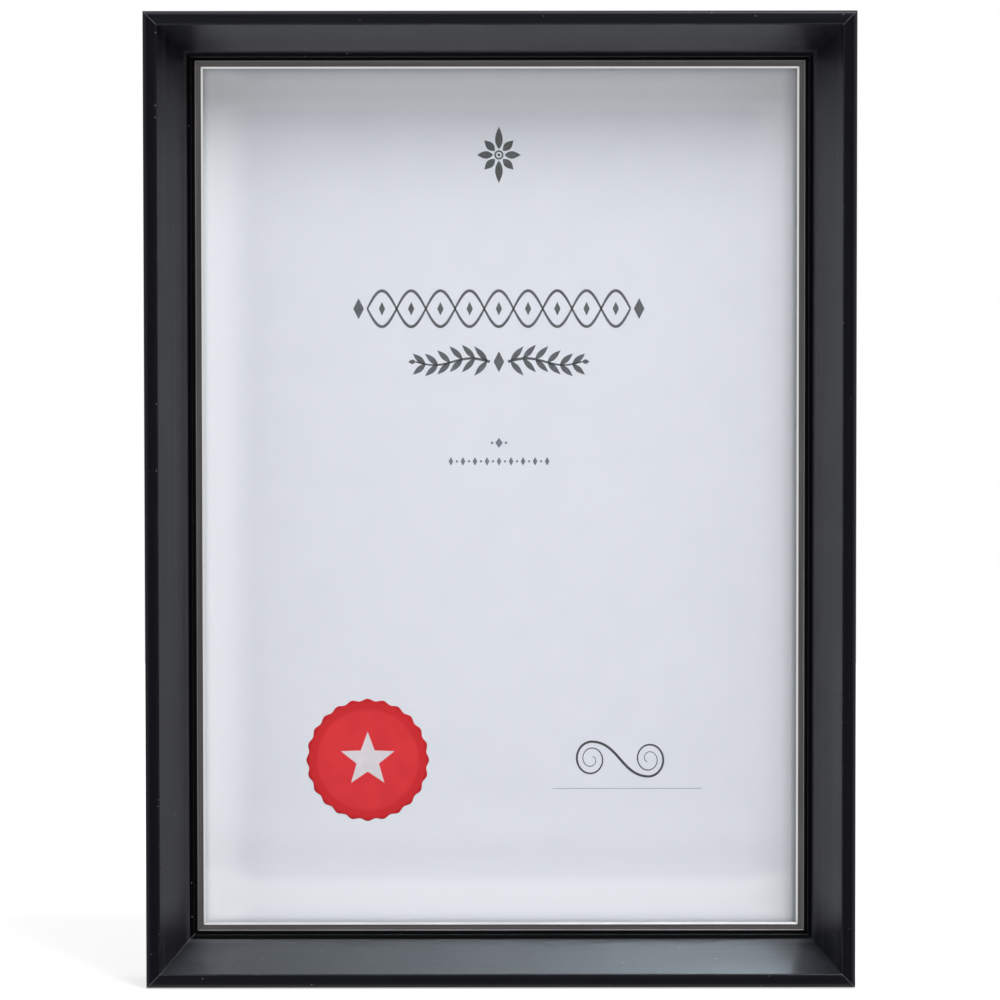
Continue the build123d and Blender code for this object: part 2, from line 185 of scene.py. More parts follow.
class Shader:
    """A node tree with one short call for each kind of node."""

    def __init__(self, owner):
        owner.use_nodes = True
        self.owner = owner
        self.tree = owner.node_tree
        self.tree.nodes.clear()

    def node(self, kind, **settings):
        made = self.tree.nodes.new(kind)
        for name, value in settings.items():
            setattr(made, name, value)
        return made

    def feed(self, socket, value):
        if isinstance(value, bpy.types.NodeSocket):
            self.tree.links.new(value, socket)
        elif socket.type == "RGBA" and len(value) == 3:
            socket.default_value = (*value, 1.0)
        else:
            socket.default_value = value

    def math(self, operation, *values, clamp=False):
        made = self.node("ShaderNodeMath", operation=operation, use_clamp=clamp)
        for number, value in enumerate(values):
            self.feed(made.inputs[number], value)
        return made.outputs[0]

    def parts(self, vector):
        made = self.node("ShaderNodeSeparateXYZ")
        self.feed(made.inputs[0], vector)
        return made.outputs[0], made.outputs[1], made.outputs[2]

    def vector(self, x, y, z):
        made = self.node("ShaderNodeCombineXYZ")
        for number, value in enumerate((x, y, z)):
            self.feed(made.inputs[number], value)
        return made.outputs[0]

    def place(self):
        return self.node("ShaderNodeTexCoord").outputs["Object"]

    def facing(self):
        """The surface's direction in the piece's own frame."""
        return self.node("ShaderNodeTexCoord").outputs["Normal"]

    def scaled(self, vector, x, y, z):
        made = self.node("ShaderNodeVectorMath", operation="MULTIPLY")
        self.feed(made.inputs[0], vector)
        self.feed(made.inputs[1], (x, y, z))
        return made.outputs[0]

    def noise(self, vector, scale=1.0, detail=2.0, roughness=0.5, distortion=0.0):
        made = self.node("ShaderNodeTexNoise")
        self.feed(made.inputs["Vector"], vector)
        self.feed(made.inputs["Scale"], scale)
        self.feed(made.inputs["Detail"], detail)
        self.feed(made.inputs["Roughness"], roughness)
        self.feed(made.inputs["Distortion"], distortion)
        return made.outputs[0]

    def cells(self, vector, scale):
        made = self.node("ShaderNodeTexVoronoi")
        self.feed(made.inputs["Vector"], vector)
        self.feed(made.inputs["Scale"], scale)
        return made.outputs

    def span(self, value, low, high, start=0.0, end=1.0):
        """Maps low to high onto start to end with soft ends, and holds it beyond them."""
        made = self.node("ShaderNodeMapRange", interpolation_type="SMOOTHSTEP")
        for socket, number in zip(made.inputs[:5], (value, low, high, start, end)):
            self.feed(socket, number)
        return made.outputs[0]

    def mix(self, share, first, second):
        made = self.node("ShaderNodeMix", data_type="RGBA")
        self.feed(made.inputs[0], share)
        self.feed(made.inputs[6], first)
        self.feed(made.inputs[7], second)
        return made.outputs[2]

    def blend(self, share, first, second):
        """A mix of two numbers."""
        made = self.node("ShaderNodeMix", data_type="FLOAT")
        for socket, value in zip(made.inputs[:1] + made.inputs[2:4], (share, first, second)):
            self.feed(socket, value)
        return made.outputs[0]

    def bump(self, height, distance, strength=1.0, under=None):
        made = self.node("ShaderNodeBump")
        made.inputs["Strength"].default_value = strength
        made.inputs["Distance"].default_value = distance
        self.feed(made.inputs["Height"], height)
        if under is not None:
            self.feed(made.inputs["Normal"], under)
        return made.outputs[0]

    def principled(self, **values):
        made = self.node("ShaderNodeBsdfPrincipled")
        for name, value in values.items():
            self.feed(made.inputs[name.replace("_", " ")], value)
        return made.outputs[0]

    def mix_shaders(self, share, first, second):
        made = self.node("ShaderNodeMixShader")
        for number, value in enumerate((share, first, second)):
            self.feed(made.inputs[number], value)
        return made.outputs[0]

    def finish(self, surface, kind="ShaderNodeOutputMaterial"):
        self.feed(self.node(kind).inputs["Surface"], surface)
        return self.owner


def material(name):
    return Shader(bpy.data.materials.new(name))


def make_world():
    """A plain pale room, darker behind the camera. The camera and glass see the white background."""
    world = bpy.data.worlds.new("world")
    bpy.context.scene.world = world
    s = Shader(world)
    path = s.node("ShaderNodeLightPath").outputs
    x, y, z = s.parts(s.node("ShaderNodeTexCoord").outputs["Generated"])
    towards_camera = s.math("MULTIPLY", y, -1.0)
    high = s.math("MULTIPLY", band(s, z, HIGH_PLACE, 0.10, 0.12), s.span(towards_camera, 0.3, 0.5))
    in_gloss = s.blend(s.span(y, 0.05, 0.5), ROOM_SIDES_GLOSS, ROOM_REAR_GLOSS)
    walls = s.span(x, -0.3, 0.3, ROOM_LEFT_GLOSS, ROOM_RIGHT_GLOSS)
    in_gloss = s.blend(band(s, towards_camera, WALL_PLACE, 0.05, 0.10), in_gloss, walls)
    in_gloss = s.blend(high, in_gloss, ROOM_HIGH_GLOSS)
    sides = s.blend(path["Is Glossy Ray"], ROOM_SIDES, in_gloss)
    dark = s.span(towards_camera, DARK_CONE_EDGE, DARK_CONE_CORE)
    dark = s.math("MULTIPLY", dark, s.blend(path["Is Diffuse Ray"], 1.0, DARK_SHARE_DIFFUSE))
    room = s.node("ShaderNodeBackground")
    s.feed(room.inputs["Color"], ROOM_COLOUR)
    s.feed(room.inputs["Strength"], s.blend(dark, sides, ROOM_DARK))
    white = s.node("ShaderNodeBackground")
    s.feed(white.inputs["Color"], (1.0, 1.0, 1.0))
    through = s.math("MULTIPLY", path["Is Transmission Ray"], s.math("GREATER_THAN", y, 0.0))
    seen = s.math("MAXIMUM", path["Is Camera Ray"], through)
    s.finish(s.mix_shaders(seen, room.outputs[0], white.outputs[0]), "ShaderNodeOutputWorld")


def make_floor():
    """A plain pale floor that keeps the frame's shadow, and fades to the background further out."""
    mesh = bpy.data.meshes.new("floor")
    corners = [(-1, -1), (1, -1), (1, 1), (-1, 1)]
    points = [(x * FLOOR_HALF, y * FLOOR_HALF, -FLOOR_GAP) for x, y in corners]
    mesh.from_pydata(points, [], [(0, 1, 2, 3)])
    floor = bpy.data.objects.new("floor", mesh)
    bpy.context.scene.collection.objects.link(floor)
    s = material("floor")
    path = s.node("ShaderNodeLightPath").outputs
    x, y, _ = s.parts(s.place())
    beside = s.math("MAXIMUM", s.math("SUBTRACT", s.math("ABSOLUTE", x), HALF_WIDTH), 0.0)
    away = s.math("SQRT", s.math("ADD", s.math("POWER", beside, 2.0), s.math("POWER", y, 2.0)))
    glow = s.span(away, FLOOR_NEAR, FLOOR_FAR, FLOOR_NEAR_GLOW, 1.0)
    grain = s.noise(s.place(), 60.0, 3.0)
    surface = s.principled(
        Base_Color=s.mix(grain, (0.56, 0.56, 0.56), (0.60, 0.60, 0.60)),
        Roughness=0.9,
        Specular_IOR_Level=0.1,
        Emission_Color=(1.0, 1.0, 1.0),
        Emission_Strength=s.math("MULTIPLY", glow, path["Is Camera Ray"]),
    )
    mesh.materials.append(s.finish(surface))
    # The lacquer and the pane mirror the room's brightness in place of the floor
    floor.visible_glossy = False
    floor.visible_transmission = False


def rail_places(s):
    """Where a point of the moulding lies: inset from the outer edge, depth from the front, distance from the
    mitre, place along the rail, and a number that differs from rail to rail."""
    x, y, z = s.parts(s.place())
    inset_x = s.math("SUBTRACT", HALF_WIDTH, s.math("ABSOLUTE", x))
    inset_z = s.math("SUBTRACT", HALF_HEIGHT, s.math("ABSOLUTE", s.math("SUBTRACT", z, MIDDLE_Z)))
    inset = s.math("MINIMUM", inset_x, inset_z)
    across = s.math("LESS_THAN", inset_z, inset_x)
    mitre = s.math("MULTIPLY", s.math("ABSOLUTE", s.math("SUBTRACT", inset_x, inset_z)), math.sqrt(0.5))
    depth = s.math("SUBTRACT", y, FRONT_Y)
    along = s.blend(across, z, x)
    upright_side = s.math("MULTIPLY", s.math("SIGN", x), 3.1)
    side = s.blend(across, upright_side, s.math("SIGN", s.math("SUBTRACT", z, MIDDLE_Z)))
    return inset, depth, mitre, along, side


def band(s, value, middle, half, soft):
    """1 within half of middle, fading out over soft."""
    off = s.math("ABSOLUTE", s.math("SUBTRACT", value, middle))
    return s.span(off, half, half + soft, 1.0, 0.0)


def dust(s, scale, size, share):
    """Sparse small specks, as a mask."""
    found = s.cells(s.place(), scale)
    chosen = s.span(s.parts(found["Color"])[0], 1.0 - share, 1.0 - share + 0.01)
    return s.math("MULTIPLY", chosen, s.span(found["Distance"], size * 0.5, size, 1.0, 0.0))


def bare_pine(s, inset, depth, mitre, along, side):
    """Colour and relief of the unpainted back, and a mask of where it shows."""
    grain_place = s.vector(
        s.math("ADD", s.math("MULTIPLY", along, 7.0), side),
        s.math("MULTIPLY", inset, 900.0),
        s.math("MULTIPLY", depth, 300.0),
    )
    grain = s.noise(grain_place, 1.0, 5.0, 0.62, 0.35)
    pore_place = s.vector(s.math("MULTIPLY", along, 160.0), s.math("MULTIPLY", inset, 5200.0), side)
    pores = s.noise(pore_place, 1.0, 2.0)
    wood = s.mix(s.span(grain, 0.3, 0.7), (0.36, 0.225, 0.115), (0.60, 0.43, 0.255))
    wood = s.mix(s.span(pores, 0.62, 0.75, 0.0, 0.45), wood, (0.24, 0.14, 0.07))
    gap = s.span(mitre, 0.05 * MM, 0.16 * MM, 0.85, 0.0)
    wood = s.mix(gap, wood, (0.05, 0.032, 0.02))
    relief = s.math("ADD", grain, s.math("MULTIPLY", pores, 0.5))
    # Black spray reaches a little way in from the outer edge
    fog = s.noise(s.place(), 420.0, 4.0, 0.7)
    sprayed = s.math("ADD", inset, s.math("MULTIPLY", s.math("SUBTRACT", fog, 0.5), 1.3 * MM))
    at_back = s.math("GREATER_THAN", depth, MOULDING_DEPTH - 0.2 * MM)
    bare = s.math("MULTIPLY", s.span(sprayed, 0.1 * MM, 1.4 * MM), at_back)
    return wood, relief, bare


def moulding_material(name, shine, painted_light_paleness, tint):
    """Satin black lacquer with fine lengthwise streaks. The back face is bare pine with black overspray."""
    s = material(name)
    inset, depth, mitre, along, side = rail_places(s)
    streak_place = s.vector(
        s.math("ADD", s.math("MULTIPLY", along, 3.0), side),
        s.math("MULTIPLY", inset, 1700.0),
        s.math("MULTIPLY", depth, 420.0),
    )
    streak = s.noise(streak_place, 1.0, 3.0, 0.6)
    broad_place = s.vector(s.math("MULTIPLY", along, 14.0), s.math("MULTIPLY", inset, 260.0), depth)
    broad = s.noise(broad_place, 1.0, 2.0)
    peel = s.noise(s.place(), 900.0, 2.0, 0.5)
    speck = dust(s, 420.0, 0.09, 0.16)
    on_slope = s.span(inset, RIDGE_INSET - 0.4 * MM, RIDGE_INSET + 0.4 * MM)
    lip = s.span(inset, LIP_INSET - 0.15 * MM, LIP_INSET)
    foot = s.span(inset, LIP_INSET - 1.4 * MM, LIP_INSET - 0.5 * MM, 0.0, 0.85)

    # Painted highlight: pale mitre lines on the front strips, and down the slope only at the lower left corner
    line = s.span(mitre, 0.06 * MM, 0.2 * MM, 1.0, 0.0)
    joint = s.math("MULTIPLY", line, s.span(streak, 0.35, 0.6, 0.35, 1.0))
    x, _, z = s.parts(s.place())
    lower_left = s.math("MULTIPLY", s.math("LESS_THAN", x, 0.0), s.math("LESS_THAN", z, MIDDLE_Z))
    joint = s.math("MULTIPLY", joint, s.blend(on_slope, 0.8, s.blend(lower_left, 0.1, 0.9)))

    # A paler line along the ridge and the outer edge, broken up by noise, is a painted highlight, and is a
    # little rougher
    highlight_breakup = s.noise(s.vector(s.math("MULTIPLY", along, 120.0), inset, depth), 1.0, 4.0, 0.65)
    at_ridge = band(s, inset, RIDGE_INSET, 0.25 * MM, 0.3 * MM)
    ridge = s.math("MULTIPLY", at_ridge, s.span(depth, 0.0, 1.0 * MM, 1.0, 0.0))
    at_rim = s.span(inset, 0.2 * MM, 0.8 * MM, 1.0, 0.0)
    rim = s.math("MULTIPLY", at_rim, s.span(depth, 0.2 * MM, 1.2 * MM, 1.0, 0.0))
    edge_highlight = s.math("MULTIPLY", s.math("MAXIMUM", ridge, rim), s.span(highlight_breakup, 0.5, 0.72))

    # Each rail's black is made paler or darker as painted light and shade
    deep, pale = ([painted_light_paleness * part for part in shade] for shade in BLACKS)
    light_streak = s.math("MULTIPLY", s.span(streak, 0.52, 0.66, 0.0, 0.6), on_slope)
    paint = s.mix(s.span(streak, 0.3, 0.7), deep, pale)
    paint = s.mix(light_streak, paint, (0.026, 0.026, 0.029))
    # Painted highlight: the black is paler within the outer 1.7 mm
    paint = s.mix(s.span(inset, 0.5 * MM, 1.7 * MM, 0.8, 0.0), paint, (0.0170, 0.0168, 0.0185))
    # Painted highlight: a fine paler line at the foot of the slope
    paint = s.mix(foot, paint, (0.036, 0.037, 0.040))
    # Painted shade: the ledge and the lip under the slope are made almost pure black
    paint = s.mix(s.math("MULTIPLY", lip, 0.95), paint, (0.0, 0.0, 0.0))
    # Painted highlight along the ridge and the outer edge
    paint = s.mix(s.math("MULTIPLY", edge_highlight, 0.5), paint, (0.030, 0.030, 0.032))
    # Painted highlight along the mitres
    paint = s.mix(s.math("MULTIPLY", joint, 0.75), paint, (0.150, 0.153, 0.160))
    paint = s.mix(s.math("MULTIPLY", speck, 0.9), paint, (0.30, 0.30, 0.31))

    rough = s.math("ADD", s.span(streak, 0.25, 0.75, -0.03, 0.03), s.span(broad, 0.3, 0.7, -0.02, 0.02))
    # The slopes are duller towards the corners
    slope = s.span(mitre, 3.0 * MM, 16.0 * MM, ROUGH_CORNER, ROUGH_SLOPE)
    rough = s.math("ADD", rough, s.blend(on_slope, ROUGH_STRIP, slope))
    rough = s.math("ADD", rough, s.math("MULTIPLY", s.math("MAXIMUM", edge_highlight, joint), 0.2))
    rough = s.math("MAXIMUM", rough, s.math("MULTIPLY", speck, 0.85))
    rough = s.blend(lip, rough, ROUGH_LIP)

    wood, wood_relief, bare = bare_pine(s, inset, depth, mitre, along, side)
    relief = s.math("ADD", s.math("MULTIPLY", streak, 0.25), s.math("MULTIPLY", peel, 0.4))
    surface = s.principled(
        Base_Color=s.mix(bare, paint, wood),
        Roughness=s.blend(bare, rough, 0.75),
        IOR=1.5,
        Specular_IOR_Level=shine,
        Specular_Tint=tint,
        Normal=s.bump(s.blend(bare, relief, wood_relief), 0.012 * MM, 0.6),
    )
    return s.finish(surface)


def slip_material():
    """Brushed silver foil from the bead inwards, and black outside the bead. The inner bevel is a paler,
    smoother silver as a painted highlight, and the bead a dark silver as painted shade.
    """
    s = material("silver_foil")
    inset, depth, mitre, along, side = rail_places(s)
    brush_place = s.vector(
        s.math("ADD", s.math("MULTIPLY", along, 24.0), side),
        s.math("MULTIPLY", inset, 4200.0),
        s.math("MULTIPLY", depth, 4200.0),
    )
    brushed = s.noise(brush_place, 1.0, 3.0, 0.6)
    cloud_place = s.vector(s.math("MULTIPLY", along, 60.0), s.math("MULTIPLY", inset, 300.0), side)
    cloud = s.noise(cloud_place, 1.0, 3.0)
    bevel_highlight = s.span(inset, SLIP_FLAT_INSET - 0.04 * MM, SLIP_FLAT_INSET + 0.06 * MM)
    foiled = s.span(inset, SILVER_START - 0.05 * MM, SILVER_START + 0.05 * MM)
    flat = s.mix(s.span(brushed, 0.3, 0.7), (0.60, 0.560, 0.575), (0.76, 0.710, 0.730))
    flat = s.mix(s.span(cloud, 0.35, 0.7, 0.0, 0.25), flat, (0.50, 0.465, 0.48))
    joint = s.math("MULTIPLY", s.span(mitre, 0.03 * MM, 0.12 * MM, 1.0, 0.0), 0.55)
    # Painted highlight: the inner bevel is a paler silver
    colour = s.mix(bevel_highlight, flat, (0.93, 0.925, 0.92))
    colour = s.mix(joint, colour, (0.08, 0.08, 0.082))
    # Painted shade: the bead is a much darker silver
    bead = s.span(inset, SLIP_BEAD_END, SLIP_BEAD_END + 0.1 * MM, 0.65, 0.0)
    colour = s.mix(bead, colour, (0.03, 0.03, 0.031))
    colour = s.mix(foiled, (0.0015, 0.0015, 0.0016), colour)
    rough = s.blend(bevel_highlight, s.span(brushed, 0.25, 0.75, 0.14, 0.24), s.span(cloud, 0.3, 0.7, 0.13, 0.18))
    rough = s.math("ADD", rough, s.math("MULTIPLY", bead, 0.3))
    surface = s.principled(
        Base_Color=colour,
        Metallic=foiled,
        Roughness=s.blend(foiled, 0.4, rough),
        Specular_IOR_Level=0.1,
        Normal=s.bump(s.blend(bevel_highlight, brushed, 0.5), 0.005 * MM, 0.4),
    )
    return s.finish(surface)


def glass_material():
    """A clear pane. Lamps and light scattered off the sheet pass it, and eyes and gloss meet real glass."""
    s = material("clear_glass")
    path = s.node("ShaderNodeLightPath").outputs
    glass = s.principled(
        Base_Color=(0.97, 0.99, 0.985),
        Roughness=0.0,
        IOR=1.5,
        Transmission_Weight=1.0,
    )
    passing = s.node("ShaderNodeBsdfTransparent").outputs[0]
    share = s.math("MAXIMUM", path["Is Shadow Ray"], path["Is Diffuse Ray"])
    return s.finish(s.mix_shaders(share, glass, passing))


def hollow(s, value, middle, width):
    """A rounded bump in one direction: 1 at the middle, dying away over the width."""
    off = s.math("DIVIDE", s.math("SUBTRACT", value, middle), width)
    return s.math("EXPONENT", s.math("MULTIPLY", s.math("POWER", off, 2.0), -1.0))


def paper_material():
    """Heavy uncoated paper with a faint cloudy formation and short fibres."""
    s = material("certificate_paper")
    place = s.place()
    cloud = s.noise(place, 95.0, 4.0, 0.6)
    tooth = s.noise(place, 2600.0, 3.0, 0.65)
    fibres = s.noise(s.scaled(place, 900.0, 900.0, 3400.0), 1.0, 2.0, 0.5, 0.8)
    fleck = dust(s, 150.0, 0.028, 0.02)
    colour = s.mix(s.span(cloud, 0.3, 0.7), (0.790, 0.797, 0.862), (0.810, 0.816, 0.880))
    colour = s.mix(s.span(fibres, 0.55, 0.8, 0.0, 0.12), colour, (0.74, 0.75, 0.80))
    # Painted light: paler bands near the bottom, top, left and right edges, and a paler lower part of the sheet
    x, _, z = s.parts(place)
    low = band(s, z, EDGE_LOW - 1.5 * MM, 2.2 * MM, 8.0 * MM)
    top = band(s, z, EDGE_TOP, 2.5 * MM, 5.0 * MM)
    left = s.span(x, CURL_LEFT - 7.0 * MM, CURL_LEFT + 6.0 * MM, 0.9, 0.0)
    right = s.span(x, EDGE_RIGHT - 12.5 * MM, EDGE_RIGHT - 1.5 * MM, 0.0, 0.45)
    light = s.math("ADD", s.math("ADD", s.math("ADD", low, top), left), right)
    light = s.math("MAXIMUM", light, s.span(z, EDGE_LOW + 16.0 * MM, EDGE_LOW + 36.0 * MM, 0.35, 0.0))
    colour = s.mix(s.math("MULTIPLY", light, 0.95, clamp=True), colour, (0.940, 0.945, 0.990))
    # Painted shade: darker along the right edge and at the very bottom
    painted_shade_right = s.span(x, EDGE_RIGHT, EDGE_RIGHT + 4.5 * MM)
    painted_shade_low = s.span(z, EDGE_LOW - 6.5 * MM, EDGE_LOW - 9.5 * MM, 0.0, 0.3)
    deep = s.math("MULTIPLY", s.math("MAXIMUM", painted_shade_right, painted_shade_low), 0.8)
    colour = s.mix(deep, colour, (0.64, 0.645, 0.69))
    swell = s.math("MULTIPLY", hollow(s, x, CURL_LEFT, 7.0 * MM), -CURL_HEIGHT)
    swell = s.math("ADD", swell, s.math("MULTIPLY", hollow(s, z, CURL_LOW, 8.0 * MM), -1.1 * CURL_HEIGHT))
    swell = s.math("ADD", swell, s.math("MULTIPLY", hollow(s, z, CURL_TOP, 6.0 * MM), 1.6 * CURL_HEIGHT))
    curled = s.bump(s.math("DIVIDE", swell, CURL_HEIGHT), CURL_HEIGHT)
    colour = s.mix(s.math("MULTIPLY", fleck, 0.5), colour, (0.40, 0.40, 0.42))
    grain = s.math("ADD", tooth, s.math("MULTIPLY", fibres, 0.6))
    surface = s.principled(
        Base_Color=colour,
        Roughness=s.span(tooth, 0.3, 0.7, 0.82, 0.93),
        Specular_IOR_Level=0.3,
        Normal=s.bump(grain, 0.008 * MM, 0.2, curled),
    )
    return s.finish(surface)


def hardboard_material():
    """Brown hardboard with pressed fibres."""
    s = material("brown_hardboard")
    place = s.place()
    cloud = s.noise(place, 40.0, 4.0, 0.6)
    fibre = s.noise(s.scaled(place, 1500.0, 800.0, 420.0), 1.0, 4.0, 0.65, 1.2)
    crossing = s.noise(s.scaled(place, 420.0, 800.0, 1500.0), 1.0, 4.0, 0.65, 1.2)
    chips = s.math("MAXIMUM", s.span(fibre, 0.55, 0.72), s.span(crossing, 0.57, 0.74))
    pits = s.noise(place, 1700.0, 2.0)
    colour = s.mix(s.span(cloud, 0.3, 0.7), (0.245, 0.142, 0.074), (0.300, 0.178, 0.095))
    colour = s.mix(s.math("MULTIPLY", chips, 0.7), colour, (0.47, 0.31, 0.18))
    colour = s.mix(s.span(pits, 0.62, 0.74, 0.0, 0.6), colour, (0.10, 0.055, 0.03))
    surface = s.principled(
        Base_Color=colour,
        Roughness=s.span(cloud, 0.3, 0.7, 0.56, 0.64),
        Normal=s.bump(s.math("ADD", chips, pits), 0.02 * MM, 0.5),
    )
    return s.finish(surface)


def strut_material():
    """Hardboard faced with black grained paper. Its cut edges stay brown."""
    s = material("black_faced_board")
    place = s.place()
    grain = s.cells(place, 1500.0)["Distance"]
    cloud = s.noise(place, 55.0, 3.0)
    scuff = s.noise(s.scaled(place, 200.0, 200.0, 30.0), 1.0, 5.0, 0.7)
    face = s.mix(s.span(cloud, 0.3, 0.7), (0.012, 0.012, 0.013), (0.022, 0.022, 0.024))
    face = s.mix(s.span(scuff, 0.62, 0.8, 0.0, 0.4), face, (0.07, 0.068, 0.066))
    layers = s.noise(s.scaled(place, 300.0, 5200.0, 300.0), 1.0, 3.0, 0.6)
    edge = s.mix(s.span(layers, 0.3, 0.7), (0.16, 0.09, 0.048), (0.33, 0.205, 0.115))
    _, facing_y, _ = s.parts(s.facing())
    cut = s.span(s.math("ABSOLUTE", facing_y), 0.6, 0.75, 1.0, 0.0)
    relief = s.blend(cut, grain, layers)
    surface = s.principled(
        Base_Color=s.mix(cut, face, edge),
        Roughness=s.blend(cut, s.span(grain, 0.0, 0.6, 0.62, 0.45), 0.8),
        Normal=s.bump(relief, 0.03 * MM, 0.5),
    )
    return s.finish(surface)


def steel_material(name, dark, light, rough, warm, tarnish, grain):
    """Plated steel with fine rolling marks, a cloudy plate and a little tarnish."""
    s = material(name)
    place = s.place()
    rolled = s.noise(s.scaled(place, *grain), 1.0, 3.0, 0.6)
    plate = s.cells(place, 700.0)
    spangle = s.parts(plate["Color"])[0]
    cloud = s.noise(place, 260.0, 4.0, 0.62)
    scratch = s.noise(s.scaled(place, 2600.0, 900.0, 170.0), 1.0, 2.0, 0.5, 0.6)
    colour = s.mix(s.span(rolled, 0.3, 0.7), dark, light)
    colour = s.mix(s.math("MULTIPLY", spangle, 0.16), colour, tuple(0.72 * c for c in light))
    colour = s.mix(s.span(cloud, 0.52, 0.8, 0.0, tarnish), colour, warm)
    uneven = s.span(cloud, 0.3, 0.7, rough - 0.06, rough + 0.1)
    uneven = s.math("ADD", uneven, s.math("MULTIPLY", spangle, 0.05))
    uneven = s.math("ADD", uneven, s.span(scratch, 0.66, 0.76, 0.0, 0.14))
    relief = s.math("ADD", rolled, s.math("MULTIPLY", scratch, 0.5))
    surface = s.principled(
        Base_Color=colour,
        Metallic=1.0,
        Roughness=uneven,
        Normal=s.bump(relief, 0.008 * MM, 0.5),
    )
    return s.finish(surface)


def ink_material(name, colour):
    """Printed ink, a little uneven where the paper's tooth takes less of it."""
    s = material(name)
    tooth = s.noise(s.place(), 2600.0, 3.0, 0.65)
    cloud = s.noise(s.place(), 240.0, 3.0)
    full = s.mix(s.span(cloud, 0.3, 0.7), colour, tuple(1.12 * c for c in colour))
    surface = s.principled(
        Base_Color=s.mix(s.span(tooth, 0.58, 0.8, 0.0, 0.45), full, PAPER_SHOWING),
        Roughness=s.span(tooth, 0.3, 0.7, 0.5, 0.72),
        Specular_IOR_Level=0.35,
        Normal=s.bump(tooth, 0.008 * MM, 0.3),
    )
    return s.finish(surface)


def seal_material():
    """Red satin paper of the pressed seal, darker from the pressed ring outwards."""
    s = material("red_seal_paper")
    x, _, z = s.parts(s.place())
    off_x = s.math("SUBTRACT", x, SEAL_X)
    off_z = s.math("SUBTRACT", z, SEAL_Z)
    radius = s.math("SQRT", s.math("ADD", s.math("POWER", off_x, 2.0), s.math("POWER", off_z, 2.0)))
    ring = s.span(radius, SEAL_RING - 1.1 * MM, SEAL_RING + 0.5 * MM)
    rim = s.span(radius, SEAL_RIM + 0.2 * MM, SEAL_PEAK)
    tooth = s.noise(s.place(), 2200.0, 3.0, 0.6)
    cloud = s.noise(s.place(), 130.0, 3.0)
    colour = s.mix(s.span(cloud, 0.3, 0.7), (0.710, 0.030, 0.037), (0.780, 0.034, 0.042))
    colour = s.mix(s.math("MULTIPLY", ring, 0.65), colour, (0.600, 0.010, 0.015))
    colour = s.mix(s.math("MULTIPLY", rim, 0.85), colour, (0.450, 0.002, 0.008))
    surface = s.principled(
        Base_Color=colour,
        Roughness=s.span(tooth, 0.3, 0.7, 0.46, 0.58),
        Specular_IOR_Level=0.12,
        Normal=s.bump(tooth, 0.006 * MM, 0.3),
    )
    return s.finish(surface)


def dress(surface, *names):
    """Gives the named CAD pieces a finish."""
    for name in names:
        for place in nodes[name].material_slots:
            place.material = surface


class Print:
    """Closed flat solids that lie on the sheet, gathered into one mesh."""

    def __init__(self, layer=0):
        self.points = []
        self.faces = []
        self.rear = SHEET_FRONT - INK_GAP - layer * (INK_LIFT / 3)

    def add_rows(self, left, right, closed=False):
        """A strip between two lines of points, with a front, a back and walls."""
        start = len(self.points)
        front = self.rear - INK_LIFT
        for (ax, az), (bx, bz) in zip(left, right):
            for x, y, z in ((ax, front, az), (bx, front, bz), (bx, self.rear, bz), (ax, self.rear, az)):
                self.points.append((x * MM, y, MIDDLE_Z + z * MM))
        count = len(left)
        for number in range(count if closed else count - 1):
            a = start + 4 * number
            b = start + 4 * ((number + 1) % count)
            for side in range(4):
                after = (side + 1) % 4
                self.faces.append((a + side, a + after, b + after, b + side))
        if not closed:
            last = start + 4 * (count - 1)
            self.faces.append((start + 3, start + 2, start + 1, start))
            self.faces.append((last, last + 1, last + 2, last + 3))

    def stroke(self, path, width, closed=False):
        """A line of ink. The width is one number or one for each point."""
        count = len(path)
        widths = [width] * count if isinstance(width, (int, float)) else width
        left, right = [], []
        for number, (x, z) in enumerate(path):
            before = path[number - 1] if closed or number else path[0]
            after = path[(number + 1) % count] if closed or number < count - 1 else path[-1]
            run_x, run_z = after[0] - before[0], after[1] - before[1]
            length = math.hypot(run_x, run_z)
            side_x = -run_z / length * widths[number] / 2
            side_z = run_x / length * widths[number] / 2
            left.append((x + side_x, z + side_z))
            right.append((x - side_x, z - side_z))
        self.add_rows(left, right, closed)

    def lens(self, x, z, angle, length, width, steps=14):
        """A pointed petal or leaf from (x, z) in the direction of the angle."""
        along = (math.cos(angle), math.sin(angle))
        left, right = [], []
        for number in range(steps + 1):
            share = number / steps
            run = share * length
            half = width / 2 * max(math.sin(math.pi * share ** 0.85), 0.02)
            left.append((x + along[0] * run - along[1] * half, z + along[1] * run + along[0] * half))
            right.append((x + along[0] * run + along[1] * half, z + along[1] * run - along[0] * half))
        self.add_rows(left, right)

    def dot(self, x, z, radius, steps=12):
        left, right = [], []
        for number in range(steps + 1):
            angle = math.pi * number / steps
            across = max(math.sin(angle), 0.03) * radius
            left.append((x - math.cos(angle) * radius, z + across))
            right.append((x - math.cos(angle) * radius, z - across))
        self.add_rows(left, right)

    def lozenge(self, x, z, width, height):
        thin = 0.02 * height
        left = [(x - width / 2, z + thin), (x, z + height / 2), (x + width / 2, z + thin)]
        right = [(x - width / 2, z - thin), (x, z - height / 2), (x + width / 2, z - thin)]
        self.add_rows(left, right)

    def lay(self, name, surface):
        make_sheet_piece(name, self.points, self.faces, surface)


def make_sheet_piece(name, points, faces, surface):
    """A thin solid on the sheet. It rides on the frame."""
    mesh = bpy.data.meshes.new(name)
    mesh.from_pydata(points, [], faces)
    mesh.validate()
    mesh.materials.append(surface)
    piece = bpy.data.objects.new(name, mesh)
    bpy.context.scene.collection.objects.link(piece)
    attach(piece, "frame")
    return mesh


